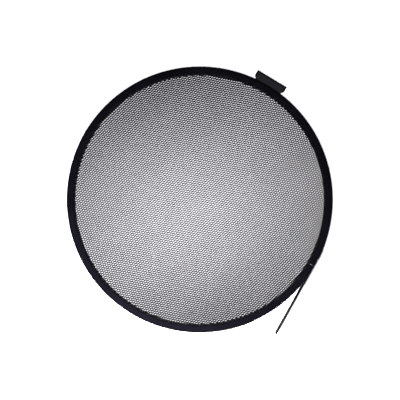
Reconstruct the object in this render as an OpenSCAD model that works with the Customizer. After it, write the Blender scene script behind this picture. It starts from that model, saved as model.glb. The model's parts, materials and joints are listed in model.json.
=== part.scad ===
// Strap-on honeycomb grid for a round softlight reflector, in millimetres.
// The grid lies flat. +Z is the way the light leaves, and the origin is the centre of the skirt's mouth.

/* [Reflector and skirt] */
// Outer diameter of the reflector's rim, which the skirt closes on
reflector_d = 515; // [505:1:525]
// Depth of the skirt, from its mouth to the gasket
skirt_depth = 13; // [11:0.5:14]
// Thickness of the rubber liner inside the skirt
liner_t = 0.8; // [0.6:0.1:1]

/* [Rim channel] */
// Thickness of the channel's aluminium sheet
sheet_t = 1.5; // [1.4:0.1:1.6]
// How far the channel's lips reach in from its web
lip_w = 10.7; // [9:0.1:14]
// Outside radius of the channel's two bends
bend_r = 2.4; // [2:0.1:2.8]
// Where the channel's ends meet, in degrees from +X
seam_a = -30.3; // [-32:0.1:-30]
// Gap between the channel's ends
seam_gap = 0.9; // [0.4:0.1:1.5]

/* [Honeycomb core] */
// Thickness of the honeycomb
core_t = 12.7; // [10:0.1:16]
// Width of a cell, a coarse stand-in for the fine foil cells
cell_w = 19.05; // [19.05:0.05:38.1]
// Thickness of a cell's wall
wall_t = 0.34; // [0.3:0.01:0.6]

/* [Strap] */
// Width of the webbing
strap_w = 30; // [29:0.5:32]
// Thickness of the webbing
strap_t = 2.2; // [1.8:0.1:2.4]
// Where the tail leaves the rim, in degrees from +X
tail_a = -29.1; // [-29.6:0.1:-28]
// Length of the tail's first stretch, which has no hooks
tail_root_l = 48; // [46:0.5:50]
// Length of each hooked stretch of the tail
tail_link_l = 37.3; // [34:0.1:40]
// Length of the tail's last stretch
tail_last_l = 34.5; // [30:0.1:40]
// Width of the tail's webbing
tail_w = 22; // [18:1:30]
// Thickness of the loop-faced closing pad
pad_t = 2.1; // [1.6:0.1:2.2]
// Where the closing pad starts, in degrees from +X
pad_start_a = -38; // [-40:0.5:-38]
// Where the closing pad ends, in degrees from +X
pad_end_a = -66; // [-67:0.5:-64]
// Where the napped tape on the strap's outer face starts, in degrees from +X
tape_start_a = -22; // [-24:0.5:-20]
// Thickness of the napped tape
tape_t = 2.3; // [1:0.1:2.5]

/* [Rivets] */
// Number of rivets spread along the strap
strap_rivet_count = 10; // [6:1:12]
// Radius of a rivet's shank
rivet_r = 1.6; // [1.2:0.1:1.8]

/* [Pull tab] */
// Where the tab stands, in degrees from +X
tab_a = 59; // [52:1:68]
// Width of the tab along the rim
tab_w = 66; // [50:1:70]
// Distance from the centre to the tab's outer edge
tab_reach = 276.6; // [272:0.1:282]
// Width of the tab's binding
binding_w = 3; // [2:0.5:4]

/* [Hidden] */
$fn = 180;

// Room between pieces that are pressed or laid together
fit = 0.2;

// Radii, from the reflector outwards
liner_r = reflector_d / 2;
web_r = liner_r + liner_t;
strap_r = web_r + fit;
strap_out_r = strap_r + strap_t;

// Heights, from the skirt's mouth to the front
gasket_z = skirt_depth + fit;
gasket_t = 2.1;
gasket_over = 2.5;
channel_z = gasket_z + gasket_t + fit;
channel_h = core_t + 2 * sheet_t + 2 * fit;
core_z = channel_z + sheet_t + fit;
middle_z = channel_z + channel_h / 2;

// Channel and core
lip_r = web_r - lip_w;
inside_r = web_r - sheet_t;
core_r = inside_r - 3.6;
core_edge_t = 0.8;

// Rivets
hole_r = rivet_r + 0.15;
washer_r = 4;
washer_t = 0.7;
strap_rivet_first_a = 9;
strap_rivet_last_a = -10;
strap_rivet_angles = [for (i = [0 : strap_rivet_count - 1])
  let (from = tail_a + strap_rivet_first_a, to = 360 + pad_end_a + strap_rivet_last_a)
  from + (to - from) * i / (strap_rivet_count - 1)];
splice_t = 1.7;
splice_half_a = 4.2;
splice_rivet_angles = [for (d = [-3, -1.4, 1.4, 3]) seam_a + d];

// Tail: its stretches run straight on from the rim, the way the strap leaves it
link_gap = 0.8;
hook_t = 1.2;
tape_r = strap_out_r + fit / 2;
tape_clear = 1.6;
hook_edge = 2;
tail_low = (strap_w - tail_w) / 2;
tail_high = strap_w - tail_low;
tail_starts = [0, for (i = [0 : 2]) tail_root_l + i * tail_link_l, tail_root_l + 2 * tail_link_l + tail_last_l];

// Tab
flap_t = 1.6;
flap_z = 27.4;
leg_t = 1.2;
leg_half_a = 6.6;
leg_z = 6;
flap_start = strap_out_r + 2;
label_t = 0.5;
binding_t = 2.6;

// Points of an arc in a profile
function arc(centre, r, from, to, steps = 4) =
  [for (i = [0 : steps]) let (a = from + (to - from) * i / steps) centre + r * [cos(a), sin(a)]];

// Curved bar round the Z axis, between two radii, two heights and two angles
module ring_bar(r_in, r_out, z_low, z_high, from, to)
  rotate(from) rotate_extrude(angle = to - from)
    translate([r_in, z_low]) square([r_out - r_in, z_high - z_low]);

// Places a child at a radius and height, with its Z axis pointing outwards
module radially(a, r, z) rotate(a) translate([r, 0, z]) rotate([0, 90, 0]) children();

// Places a child along the tail: X is outwards from the rim, and Y runs back along the tail
module on_tail(s) rotate(tail_a) translate([0, -s, 0]) children();

// Box from its two corners
module block(low, high) translate(low) cube(high - low);

// Rivet whose grip runs from 0 to its length, with a domed head beyond it and a bulb behind it
module rivet(grip, head_r, head_h, bulb_h) {
  bulb_r = rivet_r * 1.5;
  rotate_extrude($fn = 36) polygon([[0, -bulb_h], [bulb_r * 0.6, -bulb_h], [bulb_r, -bulb_h * 0.4],
    [bulb_r, 0], [rivet_r, 0], [rivet_r, grip], [head_r, grip], [head_r, grip + head_h * 0.35],
    [head_r * 0.6, grip + head_h], [0, grip + head_h]]);
}

// Round holes through the rim for rivets at the given angles
module rivet_holes(angles)
  for (a = angles) radially(a, core_r, middle_z) cylinder(r = hole_r, h = 20, $fn = 36);

// Roll-formed channel, open towards the centre, with a butt seam
module rim_channel() {
  top = channel_z + channel_h;
  end_r = sheet_t / 2;
  lower = [web_r - bend_r, channel_z + bend_r];
  upper = [web_r - bend_r, top - bend_r];
  gap_a = seam_gap / web_r * 180 / PI;
  profile = concat(
    arc([lip_r + end_r, top - end_r], end_r, 270, 90), arc(upper, bend_r, 90, 0),
    arc(lower, bend_r, 0, -90), arc([lip_r + end_r, channel_z + end_r], end_r, -90, -270),
    arc(lower, bend_r - sheet_t, -90, 0), arc(upper, bend_r - sheet_t, 0, 90));
  color("#1b1b22") difference() {
    rotate(seam_a + gap_a / 2) rotate_extrude(angle = 360 - gap_a) polygon(profile);
    rivet_holes(strap_rivet_angles);
    rivet_holes(splice_rivet_angles);
  }
}

// Plate that joins the channel's ends from inside
module splice_plate() {
  margin = 1;
  color("#3a3a40") difference() {
    ring_bar(inside_r - splice_t - fit, inside_r - fit, core_z + margin, core_z + core_t - margin,
      seam_a - splice_half_a, seam_a + splice_half_a);
    rivet_holes(splice_rivet_angles);
  }
}

// Four flush rivets through the splice
module splice_rivets() {
  start_r = inside_r - splice_t - 2 * fit;
  color("#55555c") for (a = splice_rivet_angles)
    radially(a, start_r, middle_z) rivet(web_r - start_r - 0.05, rivet_r, 0, 1);
}

// Honeycomb, cut round inside a thin solid edge
module honeycomb_core() {
  rows = ceil(core_r / cell_w) + 1;
  hole_flats = cell_w - wall_t;
  color("#0f0f12") translate([0, 0, core_z]) linear_extrude(core_t) difference() {
    circle(core_r);
    intersection() {
      circle(core_r - core_edge_t);
      for (i = [-2 * rows : 2 * rows], j = [-rows : rows])
        let (x = i * cell_w * sqrt(3) / 2, y = (j + (i % 2 == 0 ? 0 : 0.5)) * cell_w)
          if (norm([x, y]) < core_r + cell_w * 0.5) translate([x, y]) circle(r = hole_flats / sqrt(3), $fn = 6);
    }
  }
}

// Foam ring that the reflector's rim seats on
module seat_gasket() {
  inner_r = lip_r - gasket_over;
  joint_a = 0.2;
  color("#26262a") ring_bar(inner_r, web_r - 1.2, gasket_z, gasket_z + gasket_t,
    seam_a + joint_a, seam_a + 360 - joint_a);
}

// Rubber liner that grips the reflector, open where the strap is open
module grip_liner()
  color("#101012") ring_bar(liner_r, web_r, 0, skirt_depth, tail_a, 360 + pad_start_a);

// Webbing round the rim, from the tail's root to the closing pad
module strap_band() {
  root_gap_a = 0.05;
  color("#151518") difference() {
    ring_bar(strap_r, strap_out_r, 0, strap_w, tail_a + root_gap_a, 360 + pad_end_a - root_gap_a);
    rivet_holes(strap_rivet_angles);
  }
}

// Loop-faced pad that the tail's hooks close on
module closure_pad()
  color("#2c2c30") ring_bar(strap_r, strap_r + pad_t, 0, strap_w, pad_end_a, pad_start_a);

// Napped tape on the band's outer face, up to the tail's root
module root_tape()
  color("#57575c") ring_bar(tape_r, tape_r + tape_t, tail_low, tail_high,
    tail_a + tape_clear / tape_r * 180 / PI, tape_start_a);

// Rivets that hold the strap to the channel
module strap_rivets() {
  grip_r = inside_r - washer_t - fit;
  color("#2a2a2e") for (a = strap_rivet_angles)
    radially(a, grip_r, middle_z) rivet(strap_out_r + 0.05 - grip_r, 3.6, 1.2, 1.3);
}

// Backing washers inside the channel
module strap_washers()
  color("#6a6a70") for (a = strap_rivet_angles)
    radially(a, inside_r - washer_t - fit / 2, middle_z) difference() {
      cylinder(r = washer_r, h = washer_t, $fn = 36);
      translate([0, 0, -1]) cylinder(r = hole_r, h = washer_t + 2, $fn = 36);
    }

// One stretch of the tail's webbing, counted from 1 at the rim
module strap_tail(n) {
  first = n == 1 ? 0.2 : link_gap / 2;
  length = tail_starts[n] - tail_starts[n - 1];
  last = n == 4 ? 0 : link_gap / 2;
  color("#151518") on_tail(tail_starts[n - 1])
    block([strap_r, last - length, tail_low], [strap_out_r, -first, tail_high]);
}

// Napped tape on the outer face of the tail's first stretch
module tail_tape()
  color("#57575c") on_tail(0)
    block([tape_r, tape_clear - tail_root_l, tail_low], [tape_r + tape_t, -tape_clear, tail_high]);

// Hook tape on the inner face of one stretch of the tail
module hook_patch(n) {
  inset = 1.1;
  back_x = strap_r - fit / 2;
  length = tail_starts[n] - tail_starts[n - 1];
  color("#232327") on_tail(tail_starts[n - 1])
    block([back_x - hook_t, inset - length, tail_low + hook_edge],
      [back_x, -inset, tail_high - hook_edge]);
}

// Curved leg of the pull tab, sewn flat to the strap
module tab_leg()
  color("#18181b") ring_bar(strap_out_r + fit / 2, strap_out_r + fit / 2 + leg_t,
    leg_z, flap_z - 0.8, tab_a - leg_half_a, tab_a + leg_half_a);

// Flap of the pull tab, which stands out from the rim
module tab_flap()
  color("#1c1c20") rotate(tab_a)
    block([flap_start, -tab_w / 2 + 0.6, flap_z], [tab_reach - 0.6, tab_w / 2 - 0.6, flap_z + flap_t]);

// Binding folded over the flap's three free edges
module tab_binding() {
  low_z = flap_z + flap_t / 2 - binding_t / 2;
  arm_start = flap_start + 1.4;
  side = tab_w / 2;
  color("#09090b") rotate(tab_a) difference() {
    block([arm_start, -side, low_z], [tab_reach, side, low_z + binding_t]);
    block([arm_start - 1, binding_w - side, low_z - 1],
      [tab_reach - binding_w, side - binding_w, low_z + binding_t + 1]);
    block([arm_start - 1, 0.5 - side, flap_z - 0.05],
      [tab_reach - 0.5, side - 0.5, flap_z + flap_t + 0.05]);
  }
}

// Blank patch on the flap's front
module tab_label() {
  half_w = tab_w / 2 - binding_w - fit;
  color("#3a3a3e") rotate(tab_a) block([flap_start + 1.2, -half_w, flap_z + flap_t + 0.05],
    [tab_reach - binding_w - fit, half_w, flap_z + flap_t + 0.05 + label_t]);
}

rim_channel();
splice_plate();
splice_rivets();
honeycomb_core();
seat_gasket();
grip_liner();
strap_band();
closure_pad();
root_tape();
strap_rivets();
strap_washers();
strap_tail(1);  // strap_tail_1
strap_tail(2);  // strap_tail_2
strap_tail(3);  // strap_tail_3
strap_tail(4);  // strap_tail_4
tail_tape();
hook_patch(2);  // hook_patch_2
hook_patch(3);  // hook_patch_3
hook_patch(4);  // hook_patch_4
tab_leg();
tab_flap();
tab_binding();
tab_label();
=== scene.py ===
"""The honeycomb grid's looks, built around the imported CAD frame. Lengths are in metres."""

import json
import math
import random

import bpy
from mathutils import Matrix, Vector


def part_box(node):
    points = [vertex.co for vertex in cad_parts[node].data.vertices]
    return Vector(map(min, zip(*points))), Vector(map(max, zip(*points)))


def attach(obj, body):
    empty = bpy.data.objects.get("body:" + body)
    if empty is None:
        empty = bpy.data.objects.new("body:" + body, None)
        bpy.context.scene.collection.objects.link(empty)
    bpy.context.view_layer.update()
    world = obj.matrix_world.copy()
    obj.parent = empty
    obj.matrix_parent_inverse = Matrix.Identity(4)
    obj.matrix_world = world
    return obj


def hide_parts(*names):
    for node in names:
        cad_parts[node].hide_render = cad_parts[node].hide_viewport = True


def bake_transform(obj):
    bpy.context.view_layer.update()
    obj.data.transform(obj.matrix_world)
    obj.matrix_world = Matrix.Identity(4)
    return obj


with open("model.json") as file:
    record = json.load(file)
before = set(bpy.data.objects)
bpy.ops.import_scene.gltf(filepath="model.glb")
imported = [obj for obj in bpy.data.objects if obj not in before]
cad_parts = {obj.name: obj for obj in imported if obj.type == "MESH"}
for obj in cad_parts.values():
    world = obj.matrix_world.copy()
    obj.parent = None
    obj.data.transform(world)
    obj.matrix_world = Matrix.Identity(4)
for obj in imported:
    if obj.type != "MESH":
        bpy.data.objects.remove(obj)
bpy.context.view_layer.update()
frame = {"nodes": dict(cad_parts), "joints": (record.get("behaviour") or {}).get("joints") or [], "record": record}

MM = 0.001
UP = Vector((0, 0, 1))

# What the frame says
MOUNTS = {m["name"]: m for m in frame["record"]["mounts"]}
HINGES = {j["name"]: Vector(j["pos_m"]) for j in frame["joints"]}
LINER_R = MOUNTS["reflector_bore"]["dims"]["r_mm"] * MM
LINER_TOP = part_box("grip_liner")[1].z
CHANNEL_LOW, CHANNEL_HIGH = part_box("rim_channel")
WEB_R = CHANNEL_HIGH.x
CORE_LOW, CORE_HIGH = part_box("honeycomb_core")
CORE_R = CORE_HIGH.x
BAND_LOW, BAND_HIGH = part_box("strap_band")
BAND_OUT_R = -BAND_LOW.x
STRAP_W = BAND_HIGH.z
TAIL_LOW, TAIL_HIGH = (corner.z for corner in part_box("strap_tail_2"))
PEEL = HINGES["tail_peel"]
TAIL_A = math.atan2(PEEL.y, PEEL.x)
TAIL_OUT = Vector((math.cos(TAIL_A), math.sin(TAIL_A), 0))
TAIL_ALONG = Vector((math.sin(TAIL_A), -math.cos(TAIL_A), 0))
CURLS = [HINGES[n].dot(TAIL_ALONG) for n in ("tail_curl", "tail_curl_3", "tail_curl_4")]
# The low corner of the last stretch's box is 0.9 mm past its end, which leaves room for the sewn tip
TAIL_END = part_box("strap_tail_4")[0].xy.dot(TAIL_ALONG.xy)
FLEX = HINGES["tab_flex"]
TAB_A = math.atan2(FLEX.y, FLEX.x)

# Sizes that repeat part.scad's
FIT = 0.1 * MM
SHEET_T = 1.5 * MM
LIP_W = 10.7 * MM
GASKET_OVER = 2.5 * MM
BEND_R = 2.4 * MM
SEAM_A = math.radians(-30.3)
SEAM_GAP = 0.9 * MM
STRAP_T = 2.2 * MM
STRAP_R = BAND_OUT_R - STRAP_T
PAD_START, PAD_END = math.radians(-38), math.radians(-66)
PAD_T = 2.1 * MM
TAPE_START = math.radians(-22)
TAPE_R = BAND_OUT_R + FIT
TAPE_T = 2.3 * MM
HOOK_T = 1.2 * MM
TAB_W = 66 * MM
TAB_REACH = 276.6 * MM
BINDING_W = 3 * MM
FLAP_MID_Z = 28.2 * MM
RIVET_R = 1.6 * MM

# Sizes that several pieces share. RING_R is about the ring's radius: it only sets steps and maps.
# A thread narrows to THREAD_END of its width at its ends.
RING_R = 260 * MM
THREAD_R = 0.24 * MM
THREAD_END = 0.45
# A stitch's course: how far along it in half lengths, and how high in thread radii
STITCH = ((-1, -0.9), (-0.55, 0.35), (0, 0.6), (0.55, 0.35), (1, -0.9))


# ---------------------------------------------------------------- mesh building

class Builder:
    """Collects points and faces with a material index and an along-across map, and makes one object."""

    def __init__(self):
        self.points, self.faces, self.slots, self.maps = [], [], [], []

    def add(self, points, faces, slot=0, maps=None):
        """Adds faces that name their points by place in the given list."""
        start = len(self.points)
        self.points += [tuple(p) for p in points]
        self.maps += maps if maps else [(0.0, 0.0)] * len(points)
        self.faces += [tuple(start + i for i in f) for f in faces]
        self.slots += [slot] * len(faces)

    def sweep(self, profile, frames, slot=0, along=None):
        """Sweeps a profile of (across, up) points through frames of (origin, across, up), and closes it."""
        n, turns = len(profile), len(frames)
        points, maps, girth = [], [], [0.0]
        for a, b in zip(profile, profile[1:]):
            girth.append(girth[-1] + math.dist(a, b))
        for k, (origin, across, up) in enumerate(frames):
            points += [origin + across * p + up * q for p, q in profile]
            s = along[k] if along else 0.0
            maps += [(s, g) for g in girth]
        faces = []
        for k in range(turns - 1):
            a, b = k * n, (k + 1) * n
            faces += [(a + i, b + i, b + (i + 1) % n, a + (i + 1) % n) for i in range(n)]
        faces += [tuple(range(n)), tuple(range(turns * n - 1, (turns - 1) * n - 1, -1))]
        self.add(points, faces, slot, maps)

    def lathe(self, profile, origin, axis, steps=24, slot=0):
        """Turns a profile of (radius, height) points about an axis. Its first and last radii are 0."""
        side = axis.orthogonal().normalized()
        other = axis.cross(side)
        points, faces = [origin + axis * profile[0][1]], []
        for r, h in profile[1:-1]:
            for k in range(steps):
                a = 2 * math.pi * k / steps
                points.append(origin + axis * h + (side * math.cos(a) + other * math.sin(a)) * r)
        points.append(origin + axis * profile[-1][1])
        rings = len(profile) - 2
        for k in range(steps):
            j = (k + 1) % steps
            faces.append((0, 1 + j, 1 + k))
            for i in range(rings - 1):
                a, b = 1 + i * steps, 1 + (i + 1) * steps
                faces.append((a + k, a + j, b + j, b + k))
            last = 1 + (rings - 1) * steps
            faces.append((last + k, last + j, len(points) - 1))
        self.add(points, faces, slot)

    def thread(self, path, radius, slot=0, sides=5):
        """A thin thread through a few points, narrowed at its ends."""
        frames = []
        for k, p in enumerate(path):
            ahead = (path[min(k + 1, len(path) - 1)] - path[max(k - 1, 0)]).normalized()
            side = ahead.orthogonal().normalized()
            thin = THREAD_END if k in (0, len(path) - 1) else 1.0
            frames.append((p, side * thin, ahead.cross(side) * thin))
        turns = [2 * math.pi * i / sides for i in range(sides)]
        self.sweep([(radius * math.cos(a), radius * math.sin(a)) for a in turns], frames, slot)

    def make(self, name, materials, sharp=40):
        """Makes the object. Edges that turn by more than the sharp angle stay sharp."""
        mesh = bpy.data.meshes.new(name)
        mesh.from_pydata(self.points, [], self.faces)
        for m in materials:
            mesh.materials.append(m)
        mesh.polygons.foreach_set("material_index", self.slots)
        layer = mesh.uv_layers.new(name="along")
        flat = [c for loop in mesh.loops for c in self.maps[loop.vertex_index]]
        layer.data.foreach_set("uv", flat)
        mesh.validate()
        mesh.shade_smooth()
        mesh.set_sharp_from_angle(angle=math.radians(sharp))
        piece = bpy.data.objects.new(name, mesh)
        bpy.context.scene.collection.objects.link(piece)
        return piece


def arc(centre, r, start, end, steps):
    """Points of an arc in a profile, with its angles in degrees."""
    turn = [math.radians(start + (end - start) * i / steps) for i in range(steps + 1)]
    return [(centre[0] + r * math.cos(a), centre[1] + r * math.sin(a)) for a in turn]


def rounded(low, high, r, steps=4):
    """Rounded rectangle as a profile, from its two corners."""
    (a, b), (c, d) = low, high
    return (arc((c - r, d - r), r, 90, 0, steps) + arc((c - r, b + r), r, 0, -90, steps)
            + arc((a + r, b + r), r, -90, -180, steps) + arc((a + r, d - r), r, 180, 90, steps))


def on_ring(a):
    """The frame round the Z axis at an angle."""
    return Vector((0, 0, 0)), Vector((math.cos(a), math.sin(a), 0)), UP


def ring_frames(start, end, step, radius=RING_R):
    """Frames round the ring between two angles, and how far along each one is at a radius."""
    count = max(2, round(abs(end - start) * radius / step))
    turns = [start + (end - start) * k / count for k in range(count + 1)]
    return [on_ring(a) for a in turns], [(a - start) * radius for a in turns]


def on_strap(s):
    """The frame of the strap at a distance past the tail's root: round the rim before it, straight after."""
    if s < 0:
        return on_ring(TAIL_A - s / STRAP_R)
    return TAIL_ALONG * s, TAIL_OUT, UP


def strap_frames(start, end, step=1.5 * MM):
    """Frames along the strap between two distances, and those distances."""
    count = max(2, round((end - start) / step))
    places = [start + (end - start) * k / count for k in range(count + 1)]
    return [on_strap(s) for s in places], places


# ---------------------------------------------------------------- materials

class Nodes:
    """A material's node tree, with short calls for the nodes that repeat."""

    def __init__(self, name, rough, sheen=0.0, metallic=0.0, specular=0.5):
        self.material = bpy.data.materials.new(name)
        self.material.use_nodes = True
        self.tree = self.material.node_tree
        self.shader = self.tree.nodes["Principled BSDF"]
        self.shader.inputs["Roughness"].default_value = rough
        self.shader.inputs["Sheen Weight"].default_value = sheen
        self.shader.inputs["Metallic"].default_value = metallic
        self.shader.inputs["Specular IOR Level"].default_value = specular

    def node(self, kind, inputs=(), **settings):
        """A new node. An input is linked when it is given a socket, and set when it is given a value."""
        made = self.tree.nodes.new("ShaderNode" + kind)
        for key, value in settings.items():
            setattr(made, key, value)
        for key, value in dict(inputs).items():
            if isinstance(value, bpy.types.NodeSocket):
                self.tree.links.new(value, made.inputs[key])
            else:
                made.inputs[key].default_value = value
        return made

    def place(self):
        """The place on the object, in metres."""
        return self.node("TexCoord").outputs["Object"]

    def map(self):
        """The distances along and across the piece, in metres."""
        return self.node("UVMap", uv_map="along").outputs["UV"]

    def noise(self, scale, detail=3.0, stretch=None):
        """Noise in the piece's place, drawn out by a stretch along each axis."""
        at = self.place()
        if stretch:
            at = self.node("Mapping", {"Vector": at, "Scale": stretch}).outputs["Vector"]
        return self.node("TexNoise", {"Vector": at, "Scale": scale, "Detail": detail}).outputs["Fac"]

    def wave(self, period, direction):
        """Bands across the piece's own map. A wave texture of scale 1 repeats every 2 pi / 20."""
        scale = 2 * math.pi / 20 / period
        wave = self.node("TexWave", {"Vector": self.map(), "Scale": scale}, bands_direction=direction)
        return wave.outputs["Fac"]

    def math(self, operation, a, b):
        return self.node("Math", {0: a, 1: b}, operation=operation).outputs[0]

    def spread(self, value, low, high, out_low=0.0, out_high=1.0):
        """Maps the range from low to high onto another."""
        return self.node("MapRange", {"Value": value, "From Min": low, "From Max": high,
                                      "To Min": out_low, "To Max": out_high}).outputs["Result"]

    def colour(self, factor, dark, light):
        """Mixes two colours by a factor into the base colour."""
        mix = self.node("Mix", {"Factor": factor, "A": (*dark, 1), "B": (*light, 1)}, data_type="RGBA")
        self.tree.links.new(mix.outputs["Result"], self.shader.inputs["Base Color"])

    def rough(self, value, low, high):
        """Varies the roughness with a noise, which mostly stays between 0.3 and 0.7."""
        self.tree.links.new(self.spread(value, 0.3, 0.7, low, high), self.shader.inputs["Roughness"])

    def bump(self, height, distance, strength=1.0):
        bump = self.node("Bump", {"Height": height, "Distance": distance, "Strength": strength})
        self.tree.links.new(bump.outputs["Normal"], self.shader.inputs["Normal"])


def anodised():
    """Black anodised sheet: bluish black, cloudy, with a fine grain."""
    m = Nodes("anodised_black", 0.6, specular=0.006)
    grain = m.noise(2600, 2.0)
    cloud = m.noise(18, 4.0)
    m.colour(m.spread(cloud, 0.35, 0.65), (0.0014, 0.0014, 0.0025), (0.0026, 0.0026, 0.0043))
    m.rough(cloud, 0.55, 0.65)
    m.bump(grain, 0.03 * MM, 0.5)
    return m.material


def bare_edge():
    """Aluminium where the black sheet was cut."""
    m = Nodes("cut_edge", 0.5, metallic=0.2, specular=0.09)
    m.colour(m.noise(900, 3.0), (0.0072, 0.0072, 0.009), (0.0216, 0.0216, 0.0252))
    m.bump(m.noise(3000, 2.0), 0.02 * MM)
    return m.material


def foil():
    """Black foil of the honeycomb, slightly uneven in tone."""
    m = Nodes("black_foil", 0.6, specular=0.054)
    m.colour(m.noise(140, 3.0), (0.0018, 0.0018, 0.0025), (0.0058, 0.0058, 0.0076))
    return m.material


def webbing():
    """Black webbing with a fine rib weave."""
    m = Nodes("black_webbing", 0.8, sheen=0.01, specular=0.054)
    ribs = m.wave(1.1 * MM, "X")
    picks = m.wave(0.8 * MM, "Y")
    weave = m.math("MULTIPLY", ribs, picks)
    fleck = m.noise(700, 3.0)
    m.colour(m.math("MULTIPLY", weave, fleck), (0.0005, 0.0005, 0.0008), (0.0032, 0.0032, 0.0043))
    m.bump(weave, 0.22 * MM, 0.8)
    return m.material


def yarn(name, dark, light, sheen=0.3):
    """Short fibres, loops and thread, each one a little different."""
    m = Nodes(name, 0.85, sheen=sheen, specular=0.2)
    m.colour(m.noise(1500, 2.0), dark, light)
    m.bump(m.noise(5000, 1.0), 0.04 * MM, 0.5)
    return m.material


def hooks():
    """Moulded nylon hooks."""
    m = Nodes("hook_nylon", 0.6, specular=0.036)
    m.colour(m.noise(400, 2.0), (0.0005, 0.0005, 0.0008), (0.0025, 0.0025, 0.0032))
    m.bump(m.noise(2500, 2.0), 0.03 * MM, 0.4)
    return m.material


def rubber():
    """Matt rubber with fine dust in its grain."""
    m = Nodes("liner_rubber", 0.72, specular=0.35)
    m.colour(m.noise(90, 4.0), (0.010, 0.010, 0.011), (0.022, 0.022, 0.022))
    m.bump(m.noise(1800, 3.0), 0.06 * MM, 0.6)
    return m.material


def foam():
    """Closed-cell foam."""
    m = Nodes("gasket_foam", 0.9, specular=0.036)
    cells = m.node("TexVoronoi", {"Vector": m.place(), "Scale": 900.0}).outputs["Distance"]
    m.colour(cells, (0.0005, 0.0005, 0.0007), (0.0018, 0.0018, 0.0022))
    m.bump(cells, 0.2 * MM, 0.7)
    return m.material


def tab_cloth():
    """Tight plain weave of the tab."""
    m = Nodes("tab_cloth", 0.8, sheen=0.05, specular=0.18)
    weave = m.math("MULTIPLY", m.wave(0.7 * MM, "X"), m.wave(0.7 * MM, "Y"))
    m.colour(weave, (0.0018, 0.0018, 0.0025), (0.0072, 0.0072, 0.0094))
    m.bump(weave, 0.15 * MM, 0.8)
    return m.material


def label_cloth():
    """Grey woven patch, mottled where the nap has rubbed."""
    m = Nodes("label_weave", 0.78, sheen=0.03, specular=0.1)
    weave = m.math("MULTIPLY", m.wave(0.55 * MM, "X"), m.wave(0.9 * MM, "Y"))
    mottle = m.noise(230, 3.0)
    tone = m.math("ADD", m.math("MULTIPLY", weave, 0.45), m.math("MULTIPLY", mottle, 0.8))
    m.colour(m.spread(tone, 0.25, 0.8), (0.0028, 0.0028, 0.0045), (0.0086, 0.0086, 0.0130))
    m.bump(weave, 0.12 * MM, 0.8)
    return m.material


def binding_cloth():
    """Ribbed binding tape."""
    m = Nodes("binding_tape", 0.8, sheen=0.005, specular=0.018)
    ribs = m.wave(0.6 * MM, "X")
    m.colour(ribs, (0.0005, 0.0005, 0.0009), (0.0022, 0.0022, 0.0031))
    m.bump(ribs, 0.15 * MM, 0.8)
    return m.material


def rivet_metal():
    """Blackened aluminium rivet, worn on its crown."""
    m = Nodes("rivet_black", 0.38, metallic=0.3)
    m.colour(m.spread(m.noise(700, 4.0), 0.5, 0.75), (0.006, 0.006, 0.007), (0.035, 0.035, 0.038))
    m.bump(m.noise(2200, 2.0), 0.03 * MM, 0.5)
    return m.material


def plain_metal():
    """Mill-finish aluminium."""
    m = Nodes("mill_aluminium", 0.4, metallic=0.9)
    marks = m.noise(300, 3.0, stretch=(1, 1, 14))
    m.colour(marks, (0.16, 0.16, 0.17), (0.26, 0.26, 0.27))
    m.rough(marks, 0.3, 0.5)
    return m.material


def floor_paint(glow):
    """Pale matt floor that also glows a little, so that it stays white in the picture."""
    m = Nodes("pale_floor", 0.9, specular=0.1)
    m.colour(m.noise(1.5, 2.0), (0.84, 0.84, 0.84), (0.88, 0.88, 0.88))
    m.shader.inputs["Emission Color"].default_value = (0.955, 0.945, 1, 1)
    m.shader.inputs["Emission Strength"].default_value = glow
    return m.material


ANODISED, BARE, FOIL, WEBBING = anodised(), bare_edge(), foil(), webbing()
THREAD = yarn("thread", (0.003, 0.003, 0.004), (0.012, 0.012, 0.015), sheen=0.05)
PILE = yarn("loop_pile", (0.010, 0.010, 0.012), (0.04, 0.04, 0.046))
NAP = yarn("grey_nap", (0.10, 0.10, 0.108), (0.34, 0.34, 0.36), sheen=0.6)
HOOKS, RUBBER, FOAM = hooks(), rubber(), foam()
TAB_CLOTH, LABEL, BINDING = tab_cloth(), label_cloth(), binding_cloth()
RIVET, PLAIN = rivet_metal(), plain_metal()


# ---------------------------------------------------------------- pieces

def stitch_row(build, place, start, end, slot, pitch=3.4 * MM):
    """Stitches along a line: place gives the point at a distance along it and a height over it."""
    half_length = 0.36 * pitch
    for k in range(int((end - start) / pitch)):
        s = start + (k + 0.5) * pitch
        build.thread([place(s + d * half_length, h) for d, h in STITCH], THREAD_R, slot)


def rim_profile(low, top):
    """The channel's cross-section: front lip, web and back lip, then back along the inside."""
    lip_r, end_r = WEB_R - LIP_W, SHEET_T / 2
    lower, upper = (WEB_R - BEND_R, low + BEND_R), (WEB_R - BEND_R, top - BEND_R)
    return (arc((lip_r + end_r, top - end_r), end_r, 270, 90, 8) + arc(upper, BEND_R, 90, 0, 8)
            + arc(lower, BEND_R, 0, -90, 8) + arc((lip_r + end_r, low + end_r), end_r, -90, -270, 8)
            + arc(lower, BEND_R - SHEET_T, -90, 0, 4) + arc(upper, BEND_R - SHEET_T, 0, 90, 4))


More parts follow.
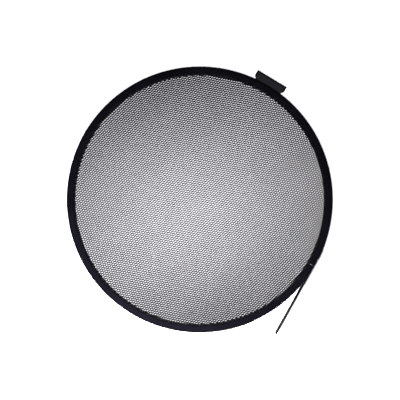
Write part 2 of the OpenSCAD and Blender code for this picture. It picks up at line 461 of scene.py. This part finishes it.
def rim():
    """Rolled channel with softly waved lips and dressed, bare cut ends."""
    low, top = CHANNEL_LOW.z, CHANNEL_HIGH.z
    profile = rim_profile(low, top)
    half_gap = SEAM_GAP / 2 / WEB_R
    start, end = SEAM_A + half_gap, SEAM_A + 2 * math.pi - half_gap
    edge = 0.45 * MM / WEB_R
    inset = 0.16 * MM
    web_middle_r = WEB_R - SHEET_T / 2
    near_lip = SHEET_T * 0.6

    def waved(a):
        """The profile with the lips' wave, which is 0 at the web, so that the outside keeps its size."""
        wave = 0.14 * math.sin(9 * a + 0.7) + 0.09 * math.sin(23 * a) + 0.05 * math.sin(51 * a + 2)
        return [(r + wave * MM * (WEB_R - r) / LIP_W if r < WEB_R - BEND_R else r, z) for r, z in profile]

    steps, span = 900, end - start - 2 * edge
    turns = [start, start + edge] + [start + edge + span * k / steps for k in range(1, steps)]
    turns += [end - edge, end]
    n = len(profile)
    points, maps = [], []
    for k, a in enumerate(turns):
        at_cut = k in (0, len(turns) - 1)
        for i, (r, z) in enumerate(waved(a)):
            if at_cut:
                z += inset if z < low + near_lip else -inset if z > top - near_lip else 0
                r -= inset if r > web_middle_r and low + BEND_R < z < top - BEND_R else 0
            points.append(Vector((r * math.cos(a), r * math.sin(a), z)))
            maps.append((a * WEB_R, i * MM))
    faces, slots = [], []
    for k in range(len(turns) - 1):
        a, b = k * n, (k + 1) * n
        faces += [(a + i, b + i, b + (i + 1) % n, a + (i + 1) % n) for i in range(n)]
        slots += [1 if k in (0, len(turns) - 2) else 0] * n
    faces += [tuple(range(n)), tuple(range(len(points) - 1, len(points) - 1 - n, -1))]
    slots += [1, 1]
    build = Builder()
    build.add(points, faces, 0, maps)
    build.slots = slots
    piece = build.make("rim_channel_sheet", [ANODISED, BARE], sharp=35)
    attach(piece, "rim")
    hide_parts("rim_channel")


# Honeycomb: corrugated ribbons run along one direction, half a ROW apart, and are bonded along their flats.
# The cells stand in columns that are COLUMN apart, and within a column they are ROW apart.
RIBBON_A = math.radians(16.3)
RIBBON_ALONG = Vector((math.cos(RIBBON_A), math.sin(RIBBON_A), 0))
RIBBON_ACROSS = Vector((-math.sin(RIBBON_A), math.cos(RIBBON_A), 0))
COLUMN = 4.32 * MM
ROW = 4.565 * MM
FLAT = 2.75 * MM
# The foil is drawn thicker than the real one, and more so at the back, to keep its darkness at this distance
FOIL_FRONT_T, FOIL_BACK_T = 0.5 * MM, 1.1 * MM
BOND = 0.005 * MM
# The foil is squeezed near its edge, outside this radius. Crushed spots are (x, y, radius).
SQUEEZED_R = WEB_R - LIP_W - 4 * MM
CRUSHED = [(0.190, -0.141, 5.5 * MM), (0.197, -0.146, 4 * MM)]


def settled(x, y):
    """Where a point of the ideal lattice lies: the sheet is slightly uneven, and crushed in places."""
    dx = 0.30 * math.sin(41 * y + 3) + 0.22 * math.sin(67 * x + 29 * y)
    dy = 0.30 * math.sin(37 * x + 1) + 0.22 * math.sin(59 * y - 31 * x + 2)
    p = RIBBON_ALONG * (x + dx * MM) + RIBBON_ACROSS * (y + dy * MM)
    past = p.length - SQUEEZED_R
    if past > 0:
        squeeze = min(past / (8 * MM), 1.0) * 0.55 * MM
        p += Vector((math.sin(2600 * x + 900 * y), math.sin(2300 * y - 1100 * x), 0)) * squeeze
    for cx, cy, r in CRUSHED:
        away = math.hypot(p.x - cx, p.y - cy)
        if away < r:
            push = (1 - away / r) * 1.6 * MM
            p += Vector((math.sin(3100 * x), math.sin(2900 * y + 1), 0)) * push
    return p


def ribbon(build, j, columns):
    """One corrugated ribbon, j half rows from the middle, with its four edges swept along its fold line."""
    y = j * ROW / 2
    clear_z = 0.06 * MM
    line = [(i * COLUMN + end, 1 if (i + j) % 2 == 0 else -1)
            for i in range(-columns, columns + 1) for end in (-FLAT / 2, FLAT / 2)]
    jitter = [random.uniform(-0.05, 0.05) * MM for _ in line]
    points = []
    for k, (x, side) in enumerate(line):
        before = line[max(k - 1, 0)]
        after = line[min(k + 1, len(line) - 1)]
        run = Vector((after[0] - before[0], (after[1] - before[1]) * ROW / 4))
        run.normalize()
        normal = RIBBON_ACROSS * run.x - RIBBON_ALONG * run.y
        high, low = CORE_HIGH.z - clear_z + jitter[k], CORE_LOW.z + clear_z - jitter[k]
        front = settled(x, y + side * (ROW / 4 - FOIL_FRONT_T / 2 - BOND))
        back = settled(x, y + side * (ROW / 4 - FOIL_BACK_T / 2 - BOND))
        for centre, half, z in ((front, FOIL_FRONT_T / 2, high), (front, -FOIL_FRONT_T / 2, high),
                                (back, -FOIL_BACK_T / 2, low), (back, FOIL_BACK_T / 2, low)):
            q = centre + normal * half
            points.append((q.x, q.y, z))
    faces = []
    for k in range(len(line) - 1):
        a, b = 4 * k, 4 * (k + 1)
        faces += [(a + c, b + c, b + (c + 1) % 4, a + (c + 1) % 4) for c in range(4)]
    last = len(points)
    faces += [(0, 1, 2, 3), (last - 1, last - 2, last - 3, last - 4)]
    build.add(points, faces)


def honeycomb():
    """Bonded corrugated ribbons of foil, in two pieces of alternate ribbons."""
    random.seed(7)
    edge_r = CORE_R - 0.3 * MM
    builds = [Builder(), Builder()]
    rows = int(edge_r / (ROW / 2))
    for j in range(-rows, rows + 1):
        y = j * ROW / 2
        reach = math.sqrt(max(edge_r ** 2 - y ** 2, 0))
        columns = int(reach / COLUMN) - 1
        if columns >= 2:
            ribbon(builds[j % 2], j, columns)
    for build, name in zip(builds, ("honeycomb_ribbons_even", "honeycomb_ribbons_odd")):
        piece = build.make(name, [FOIL], sharp=20)
        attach(piece, "rim")
        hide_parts("honeycomb_core")


def band_profile(r_in, r_out, low, high):
    """Webbing's cross-section, with full selvedges."""
    return rounded((r_in, low), (r_out, high), (r_out - r_in) * 0.42, 4)


# The band ends short of the tail's root, and each stretch of the tail runs from one cut to the next
BAND_STOP = -12 * MM
TAIL_CUTS = [BAND_STOP, CURLS[0] / 2, (CURLS[0] + CURLS[1]) / 2, (CURLS[1] + CURLS[2]) / 2]
STITCH_INSET = 2.2 * MM


def strap_point(s, height, z):
    """A point on the strap's outer face, raised by some thread radii."""
    origin, out, _ = on_strap(s)
    return origin + out * (BAND_OUT_R + height * THREAD_R) + UP * z


def strap_band():
    """Webbing round the rim, sewn along both edges."""
    build = Builder()
    butt_gap = 0.013 * MM / STRAP_R
    start, end = TAIL_A - BAND_STOP / STRAP_R, 2 * math.pi + PAD_END - butt_gap
    frames, along = ring_frames(start, end, 2 * MM, STRAP_R)
    build.sweep(band_profile(STRAP_R, BAND_OUT_R, 0, STRAP_W), frames, 0, along=along)
    for z in (STITCH_INSET, STRAP_W - STITCH_INSET):
        stitch_row(build, lambda s, h, z=z: strap_point(-s, h, z), -BAND_STOP,
                   (end - TAIL_A) * STRAP_R - 2 * MM, 1)
    piece = build.make("strap_band_webbing", [WEBBING, THREAD])
    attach(piece, "rim")
    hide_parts("strap_band")


def hook_rows(build, start, end):
    """Tiny moulded hooks on the inner face of a stretch of the tail."""
    face = STRAP_R - FIT - HOOK_T * 0.42
    pitch, rows, hook_r = 1.7 * MM, 9, 0.11 * MM
    first_z = TAIL_LOW + 3.2 * MM
    for k in range(int((end - start) / pitch)):
        s = start + (k + 0.5) * pitch
        for row in range(rows):
            z = first_z + row * pitch + (pitch / 2 if k % 2 else 0)
            way = 1 if row % 2 else -1
            root = TAIL_ALONG * s + TAIL_OUT * face + UP * z
            stem = [root, root - TAIL_OUT * 0.35 * MM,
                    root - TAIL_OUT * 0.55 * MM + TAIL_ALONG * way * 0.18 * MM,
                    root - TAIL_OUT * 0.42 * MM + TAIL_ALONG * way * 0.40 * MM]
            build.thread(stem, hook_r, 2, sides=4)


def tip_tack(build, end):
    """Rows of stitches across the tail's tip, each one a short thread."""
    for row in range(3):
        s = end - (3 + 4 * row) * MM
        for n in range(5):
            z = TAIL_LOW + (1.5 + 3.8 * n) * MM
            build.thread([strap_point(s, 0.6, z), strap_point(s, 0.8, z + 1.3 * MM),
                          strap_point(s, 0.6, z + 2.6 * MM)], THREAD_R, 1)


def tail():
    """Loose end of the strap, in stretches that each span one hinge."""
    ends = TAIL_CUTS[1:] + [TAIL_END]
    hook_gap, tape_inset = 1.1 * MM, 2 * MM
    for k in range(4):
        build = Builder()
        start, end = TAIL_CUTS[k], ends[k]
        frames, along = strap_frames(start, end)
        build.sweep(band_profile(STRAP_R, BAND_OUT_R, TAIL_LOW, TAIL_HIGH), frames, 0, along=along)
        at_tip = k == 3
        last = end - 2 * MM if at_tip else end
        for z in (TAIL_LOW + STITCH_INSET, TAIL_HIGH - STITCH_INSET):
            stitch_row(build, lambda s, h, z=z: strap_point(s, h, z), start, last, 1)
        hooks_from = max(start, CURLS[0] + hook_gap)
        hooks_to = end - hook_gap if at_tip else end
        if hooks_to > hooks_from:
            back = STRAP_R - FIT
            frames, along = strap_frames(hooks_from, hooks_to)
            tape = rounded((back - HOOK_T * 0.45, TAIL_LOW + tape_inset), (back, TAIL_HIGH - tape_inset),
                           0.2 * MM, 2)
            build.sweep(tape, frames, 2, along=along)
            hook_rows(build, hooks_from, hooks_to)
        if at_tip:
            tip_tack(build, end)
        nodes = [f"strap_tail_{k + 1}"] + ([f"hook_patch_{k + 1}"] if k else [])
        piece = build.make(f"tail_webbing_{k + 1}", [WEBBING, THREAD, HOOKS])
        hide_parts(*nodes)
        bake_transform(piece)


def fibres(build, place, start, end, count, length, radius, seed):
    """Short bent fibres on a strip. For a distance and a height, place gives the root, out and along."""
    rng = random.Random(seed)
    for _ in range(count):
        s, z = rng.uniform(start, end), rng.uniform(TAIL_LOW + 0.3 * MM, TAIL_HIGH - 0.3 * MM)
        root, out, along = place(s, z)
        lean = along * rng.uniform(-0.6, 0.6) + UP * rng.uniform(-0.6, 0.6)
        tall = length * rng.uniform(0.6, 1.0)
        bend = lean * tall * rng.uniform(0.6, 1.2)
        build.thread([root - out * 0.15 * MM, root + out * tall * 0.6 + bend * 0.35,
                      root + out * tall * 0.9 + bend], radius, sides=3)


def loops(build, place, start, end, count, length, radius, slot, seed):
    """Small loops of pile on a strip, which take place as fibres do."""
    rng = random.Random(seed)
    for _ in range(count):
        s, z = rng.uniform(start, end), rng.uniform(0.6 * MM, STRAP_W - 0.6 * MM)
        root, out, along = place(s, z)
        turn = rng.uniform(0, math.pi)
        side = along * math.cos(turn) + UP * math.sin(turn)
        tall, wide = length * rng.uniform(0.65, 1.0), length * rng.uniform(0.4, 0.7)
        build.thread([root - side * wide * 0.4 - out * 0.1 * MM, root - side * wide + out * tall * 0.6,
                      root + out * tall, root + side * wide + out * tall * 0.6,
                      root + side * wide * 0.4 - out * 0.1 * MM], radius, slot, sides=3)


def closing_pad():
    """Loop-faced pad that the tail closes on."""
    build = Builder()
    base = PAD_T * 0.5
    inset = 0.6 * MM
    frames, along = ring_frames(PAD_END, PAD_START, 2 * MM, STRAP_R)
    build.sweep(band_profile(STRAP_R, STRAP_R + base, 0, STRAP_W), frames, 0, along=along)

    def place(s, z):
        _, out, _ = on_ring(PAD_END + s / STRAP_R)
        return out * (STRAP_R + base) + UP * z, out, UP.cross(out)

    span = (PAD_START - PAD_END) * STRAP_R
    loops(build, place, inset, span - inset, count=5200, length=PAD_T * 0.48, radius=0.09 * MM, slot=1,
          seed=11)
    piece = build.make("closure_pad_pile", [WEBBING, PILE])
    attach(piece, "rim")
    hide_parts("closure_pad")


def napped_tape():
    """Grey napped tape on the strap's outer face, which bends with the tail's root."""
    build = Builder()
    start, end = -(TAPE_START - TAIL_A) * STRAP_R, CURLS[0] - 1.6 * MM
    base = TAPE_T * 0.45
    frames, along = strap_frames(start, end)
    build.sweep(band_profile(TAPE_R, TAPE_R + base, TAIL_LOW, TAIL_HIGH), frames, 0, along=along)

    def place(s, z):
        origin, out, _ = on_strap(s)
        return origin + out * (TAPE_R + base) + UP * z, out, UP.cross(out)

    inset = 0.3 * MM
    fibres(build, place, start + inset, end - inset, count=7000, length=TAPE_T * 0.62, radius=0.07 * MM,
           seed=5)
    piece = build.make("napped_tape", [NAP])
    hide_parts("root_tape", "tail_tape")
    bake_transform(piece)


def liner():
    """Rubber liner with grip ribs."""
    corner = 0.2 * MM
    ribs, pitch, first = 6, 2.1 * MM, 1.1 * MM
    rib_r = 0.45 * (WEB_R - LINER_R)
    profile = [(WEB_R, corner), (WEB_R, LINER_TOP - corner), (WEB_R - corner, LINER_TOP)]
    for k in range(ribs):
        profile += arc((LINER_R + rib_r, LINER_TOP - first - k * pitch), rib_r, 90, 270, 6)
    profile.append((WEB_R - corner, 0))
    frames, along = ring_frames(TAIL_A, 2 * math.pi + PAD_START, 3 * MM, LINER_R)
    build = Builder()
    build.sweep(profile[::-1], frames, 0, along=along)
    piece = build.make("grip_liner_rubber", [RUBBER])
    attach(piece, "rim")
    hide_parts("grip_liner")


def gasket():
    """Foam ring behind the back lip, which reaches further in than the lips do."""
    low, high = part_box("seat_gasket")
    joint = 0.2 * MM / WEB_R
    profile = rounded((WEB_R - LIP_W - GASKET_OVER, low.z), (high.x, high.z), 0.7 * MM, 4)
    frames, along = ring_frames(SEAM_A + joint, SEAM_A + 2 * math.pi - joint, 3 * MM)
    build = Builder()
    build.sweep(profile, frames, 0, along=along)
    piece = build.make("seat_gasket_foam", [FOAM])
    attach(piece, "rim")
    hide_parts("seat_gasket")


def rivet_places():
    """The CAD rivets' angles round the rim: the points of their heads fall into one group for each rivet."""
    head_r = BAND_OUT_R + 0.9 * MM
    between_heads = 0.1
    vertices = frame["nodes"]["strap_rivets"].data.vertices
    turns = sorted(math.atan2(v.co.y, v.co.x) for v in vertices if v.co.xy.length > head_r)
    heads = [[turns[0]]]
    for a, b in zip(turns, turns[1:]):
        if b - a > between_heads:
            heads.append([])
        heads[-1].append(b)
    return [(min(h) + max(h)) / 2 for h in heads]


def rivets():
    """Blind rivets: domed heads with a sunk stem, at the CAD rivets' places."""
    build = Builder()
    middle_z = sum(corner.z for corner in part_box("strap_rivets")) / 2
    # From the blind end to the head, as (radius, height) in mm. The grip is what the rivet holds together.
    shank = RIVET_R / MM
    grip_r = WEB_R - SHEET_T - 0.9 * MM
    grip = (BAND_OUT_R + 0.05 * MM - grip_r) / MM
    profile = [(0, -1.3), (shank * 0.9, -1.3), (shank * 1.5, -0.5), (shank * 1.5, 0), (shank, 0)]
    profile += [(shank, grip), (3.6, grip), (3.62, grip + 0.25), (3.3, grip + 0.55), (2.5, grip + 0.9),
                (1.6, grip + 1.12), (1.15, grip + 1.15), (1.0, grip + 0.95), (0.85, grip + 0.75),
                (0.8, grip + 0.85), (0.5, grip + 0.95), (0, grip + 0.97)]
    for a in rivet_places():
        out = Vector((math.cos(a), math.sin(a), 0))
        build.lathe([(p * MM, h * MM) for p, h in profile], out * grip_r + UP * middle_z, out)
    piece = build.make("strap_rivet_heads", [RIVET], sharp=50)
    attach(piece, "rim")
    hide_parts("strap_rivets")


# Pull tab: x runs outwards, y along the rim and z up, about the tab's own middle
TAB_OUT = Vector((math.cos(TAB_A), math.sin(TAB_A), 0))
TAB_SIDE = UP.cross(TAB_OUT)
LEG_HALF_T = 0.6 * MM
LEG_R = BAND_OUT_R + FIT + LEG_HALF_T
LEG_FOOT = 6 * MM
LEG_STITCHED = (LEG_FOOT + 2 * MM, LEG_FOOT + 16 * MM)


def on_tab(x, y, z):
    """A point given about the tab's own middle."""
    return TAB_OUT * x + TAB_SIDE * y + UP * z


def tab_cloth_piece():
    """Folded cloth of the tab: sewn leg, bend and flap in one sheet."""
    bend = 1.8 * MM
    hem = 1.2 * MM
    leg_narrower = 2.6 * MM
    flap_end = TAB_REACH - hem
    across, up_steps, bend_steps, out_steps = 48, 12, 8, 12
    # Rows of the sheet as (distance out, height, how flat): the leg follows the rim's curve, the flap is flat
    rows = [(LEG_R, LEG_FOOT + (FLAP_MID_Z - bend - LEG_FOOT) * k / up_steps, 0) for k in range(up_steps)]
    rows += [(LEG_R + bend - bend * math.cos(a), FLAP_MID_Z - bend + bend * math.sin(a), 0)
             for a in (math.pi / 2 * k / bend_steps for k in range(bend_steps))]
    start = LEG_R + bend
    rows += [(start + (flap_end - start) * k / out_steps, FLAP_MID_Z, k / out_steps)
             for k in range(out_steps + 1)]
    points, maps = [], []
    length = 0.0
    for k, (r, z, flat) in enumerate(rows):
        if k:
            length += math.dist(rows[k][:2], rows[k - 1][:2])
        half_w = TAB_W / 2 - hem - (0 if flat else leg_narrower)
        for i in range(across + 1):
            y = half_w * (2 * i / across - 1)
            a = y / LEG_R
            x = (1 - flat) * (r - LEG_R * (1 - math.cos(a))) + flat * r
            side = (1 - flat) * LEG_R * math.sin(a) + flat * y
            points.append(on_tab(x, side, z))
            maps.append((y, length))
    n = across + 1
    faces = [(k * n + i, k * n + i + 1, (k + 1) * n + i + 1, (k + 1) * n + i)
             for k in range(len(rows) - 1) for i in range(across)]
    build = Builder()
    build.add(points, faces, 0, maps)
    sheet = build.make("tab_sheet", [TAB_CLOTH])
    thicken(sheet, 1.15 * MM)
    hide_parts("tab_flap", "tab_leg")
    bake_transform(sheet)


def leg_point(y, height, z):
    """A point on the tab's leg, which lies round the strap."""
    a = y / LEG_R
    return on_tab((LEG_R + LEG_HALF_T + height * THREAD_R) * math.cos(a), LEG_R * math.sin(a), z)


def leg_stitches():
    """Stitches round the tab's leg: two rows along the rim and one at each side."""
    build = Builder()
    pitch = 2.9 * MM
    row_half, side_y = 27 * MM, 28 * MM
    for z in LEG_STITCHED:
        stitch_row(build, lambda s, h, z=z: leg_point(s, h, z), -row_half, row_half, 0, pitch)
    for y in (-side_y, side_y):
        stitch_row(build, lambda s, h, y=y: leg_point(y, h, s), *LEG_STITCHED, 0, pitch)
    threads = build.make("tab_leg_stitches", [THREAD])
    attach(threads, "rim")


def thicken(piece, thickness):
    """Gives a sheet its thickness and soft edges, and keeps them in its mesh."""
    solid = piece.modifiers.new("thickness", "SOLIDIFY")
    solid.thickness, solid.offset = thickness, 0
    bevel = piece.modifiers.new("edges", "BEVEL")
    bevel.width, bevel.segments, bevel.limit_method = thickness * 0.3, 2, "ANGLE"
    evaluated = piece.evaluated_get(bpy.context.evaluated_depsgraph_get())
    mesh = bpy.data.meshes.new_from_object(evaluated)
    piece.modifiers.clear()
    piece.data = mesh


def binding():
    """Ribbed tape folded over the flap's free edges."""
    inset, corner = 0.35 * MM, 0.7 * MM
    side, reach, start = TAB_W / 2 - inset, TAB_REACH - inset, LEG_R + 3.2 * MM
    corner_x, corner_y = reach - corner, side - corner
    side_steps, front_steps, corner_step = 8, 60, 15

    def round_corner(y, first, last):
        """Path round a corner whose centre is at y."""
        return [(corner_x + corner * math.cos(math.radians(a)), y + corner * math.sin(math.radians(a)), a)
                for a in range(first, last + 1, corner_step)]

    # The tape's path as (x, y, which way is out, in degrees)
    path = [(start + (corner_x - start) * k / side_steps, -side, -90) for k in range(side_steps)]
    path += round_corner(-corner_y, -90, 0)
    path += [(reach, -corner_y + 2 * corner_y * k / front_steps, 0) for k in range(1, front_steps)]
    path += round_corner(corner_y, 0, 90)
    path += [(corner_x - (corner_x - start) * k / side_steps, side, 90) for k in range(1, side_steps + 1)]
    frames, along, length = [], [], 0.0
    for k, (x, y, turn) in enumerate(path):
        if k:
            length += math.dist(path[k][:2], path[k - 1][:2])
        a = math.radians(turn)
        frames.append((on_tab(x, y, FLAP_MID_Z), TAB_OUT * math.cos(a) + TAB_SIDE * math.sin(a), UP))
        along.append(length)
    half_t = 1.15 * MM
    profile = (arc((-0.8 * MM, 0), half_t, 90, -90, 8)
               + [(-BINDING_W + 0.25 * MM, -half_t * 0.93), (-BINDING_W, -half_t * 0.6),
                  (-BINDING_W, half_t * 0.6), (-BINDING_W + 0.25 * MM, half_t * 0.93)])
    build = Builder()
    build.sweep(profile, frames, 0, along=along)
    row, pitch, half_length, thread_r = 2.2 * MM, 2.6 * MM, 0.9 * MM, 0.17 * MM
    for k in range(int(length / pitch)):
        s = (k + 0.5) * pitch
        i = min(range(len(along)), key=lambda n: abs(along[n] - s))
        origin, out, _ = frames[i]
        ahead = UP.cross(out)
        for face in (1, -1):
            level = UP * face * (half_t * 0.97)
            build.thread([origin - out * row - ahead * half_length + level * 0.92,
                          origin - out * row + level * 1.1,
                          origin - out * row + ahead * half_length + level * 0.92], thread_r, 1)
    piece = build.make("tab_binding_tape", [BINDING, THREAD])
    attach(piece, "tab")
    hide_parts("tab_binding")


def label():
    """Blank woven patch with a raised border."""
    from_binding = 0.9 * MM
    x0, x1 = LEG_R + 2.9 * MM, TAB_REACH - BINDING_W - from_binding
    half_w = TAB_W / 2 - BINDING_W - from_binding
    base_z, rise = FLAP_MID_Z + 0.62 * MM, 0.75 * MM
    border_w, border_rise, soft_edge, ripple = 1.1 * MM, 0.14 * MM, 0.5 * MM, 0.05 * MM
    nx, ny = 24, 96
    points, maps = [], []
    for i in range(nx + 1):
        for j in range(ny + 1):
            x, y = x0 + (x1 - x0) * i / nx, half_w * (2 * j / ny - 1)
            inset = min(x - x0, x1 - x, half_w - abs(y))
            z = base_z + rise * min(1, 0.35 + inset / soft_edge) - (border_rise if inset > border_w else 0)
            z += ripple * math.sin(420 * y + 3) * math.sin(900 * x)
            points.append(on_tab(x, y, z))
            maps.append((y, x))
    n = ny + 1
    faces = [(i * n + j, (i + 1) * n + j, (i + 1) * n + j + 1, i * n + j + 1)
             for i in range(nx) for j in range(ny)]
    edge = (list(range(ny)) + [i * n + ny for i in range(nx)]
            + [nx * n + ny - j for j in range(ny)] + [(nx - i) * n for i in range(nx)])
    base, count = len(points), len(edge)
    for i in edge:
        x, y, _ = points[i]
        points.append(Vector((x, y, base_z)))
        maps.append(maps[i])
    faces += [(edge[k], edge[(k + 1) % count], base + (k + 1) % count, base + k) for k in range(count)]
    faces.append(tuple(base + k for k in range(count)))
    build = Builder()
    build.add(points, faces, 0, maps)
    piece = build.make("tab_label_patch", [LABEL], sharp=50)
    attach(piece, "tab")
    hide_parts("tab_label")


def hidden_metal():
    """The CAD nodes that stay as they are get their metal."""
    for name, metal in (("splice_plate", RIVET), ("splice_rivets", PLAIN), ("strap_washers", PLAIN)):
        slots = frame["nodes"][name].data.materials
        slots.clear()
        slots.append(metal)


# ---------------------------------------------------------------- studio

CAMERA_AT = Vector((-0.023, -0.027, 2.0))
# What the picture shows: its middle on the front's plane, and its width there
VIEW_AT, VIEW_W = Vector((0.0005, -0.0008)), 0.7825
FLOOR_HALF = 12.0
FLOOR_DROP = 0.5 * MM
FLOOR_GLOW = 0.55
LIGHT_COLOUR = (0.955, 0.95, 1)
SKY_COLOUR, SKY_STRENGTH = (0.95, 0.97, 1, 1), 0.12


def studio():
    """Pale floor, a soft flash beside the lens and a narrow fill from above the lower left."""
    floor_mesh = Builder()
    corners = [(x * FLOOR_HALF, y * FLOOR_HALF, 0) for x, y in ((-1, -1), (1, -1), (1, 1), (-1, 1))]
    floor_mesh.add(corners, [(0, 1, 2, 3)])
    floor = floor_mesh.make("floor", [floor_paint(FLOOR_GLOW)])
    floor.location.z = -FLOOR_DROP
    area("lens_flash", place=(-0.045, -0.05, 1.6), target=(-0.045, -0.05, 0), size=0.24, power=29.5,
         seen=False)
    area("lower_fill", place=(-0.30, -0.52, 0.75), target=(-0.08, -0.25, 0), size=0.3, power=5.8,
         spread=60)
    world = bpy.data.worlds.new("studio")
    world.use_nodes = True
    sky = world.node_tree.nodes["Background"]
    sky.inputs["Color"].default_value = SKY_COLOUR
    sky.inputs["Strength"].default_value = SKY_STRENGTH
    bpy.context.scene.world = world
    bpy.context.scene.view_settings.view_transform = "Standard"


def area(name, place, target, size, power, seen=True, spread=180):
    """A round area light, with its spread in degrees. One that isn't seen is hidden from the camera only."""
    light = bpy.data.lights.new(name, "AREA")
    light.shape, light.size, light.energy = "DISK", size, power
    light.color = LIGHT_COLOUR
    light.spread = math.radians(spread)
    lamp = bpy.data.objects.new(name, light)
    lamp.location = place
    lamp.visible_camera = seen
    lamp.rotation_euler = (Vector(place) - Vector(target)).to_track_quat("Z", "Y").to_euler()
    bpy.context.scene.collection.objects.link(lamp)


def camera():
    """Looks straight down at the grid's front."""
    data = bpy.data.cameras.new("camera")
    seen = bpy.data.objects.new("camera", data)
    seen.location = CAMERA_AT
    data.sensor_width = 36.0
    distance = CAMERA_AT.z - CHANNEL_HIGH.z
    data.lens = data.sensor_width * distance / VIEW_W
    data.shift_x, data.shift_y = (VIEW_AT - CAMERA_AT.xy) / VIEW_W
    bpy.context.scene.collection.objects.link(seen)
    bpy.context.scene.camera = seen


camera()
studio()
rim()
honeycomb()
strap_band()
tail()
closing_pad()
napped_tape()
liner()
gasket()
rivets()
tab_cloth_piece()
leg_stitches()
binding()
label()
hidden_metal()
